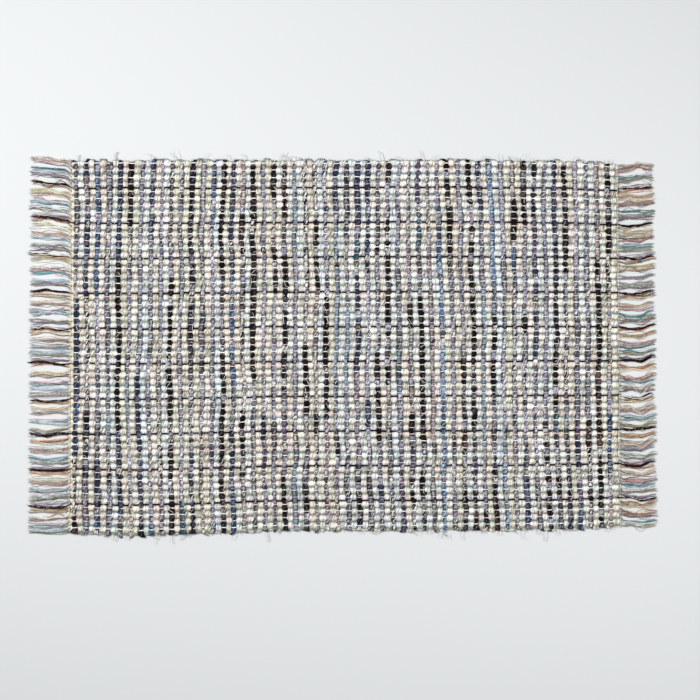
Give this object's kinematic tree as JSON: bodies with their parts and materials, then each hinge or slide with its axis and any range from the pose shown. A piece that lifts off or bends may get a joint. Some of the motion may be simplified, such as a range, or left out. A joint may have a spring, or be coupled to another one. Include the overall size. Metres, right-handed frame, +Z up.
{
  "type": "rag rug",
  "caption": "Flat rectangular rug of rag strips woven over a coloured yarn warp, with the warp ends left as a fringe on both short sides.",
  "frame": {"origin": "under the middle of the rug, on the surface that it lies on", "axes": "+X along the rug's length from its left fringe to its right one, +Y across it, +Z up out of its top face"},
  "size_m": [1.0222, 0.6182, 0.008],
  "materials": {
    "rag_cloth": "hand-woven cotton rags, cream in turn with navy, black, slate, denim and lavender, matt",
    "warp_yarn": "loose cotton yarn ends in black, rust, olive, cream, lilac, pink and teal, matt"
  },
  "bodies": {
    "root": {"rug_body": "rag_cloth", "fringe_left": "warp_yarn", "fringe_right": "warp_yarn"}
  },
  "joints": []
}
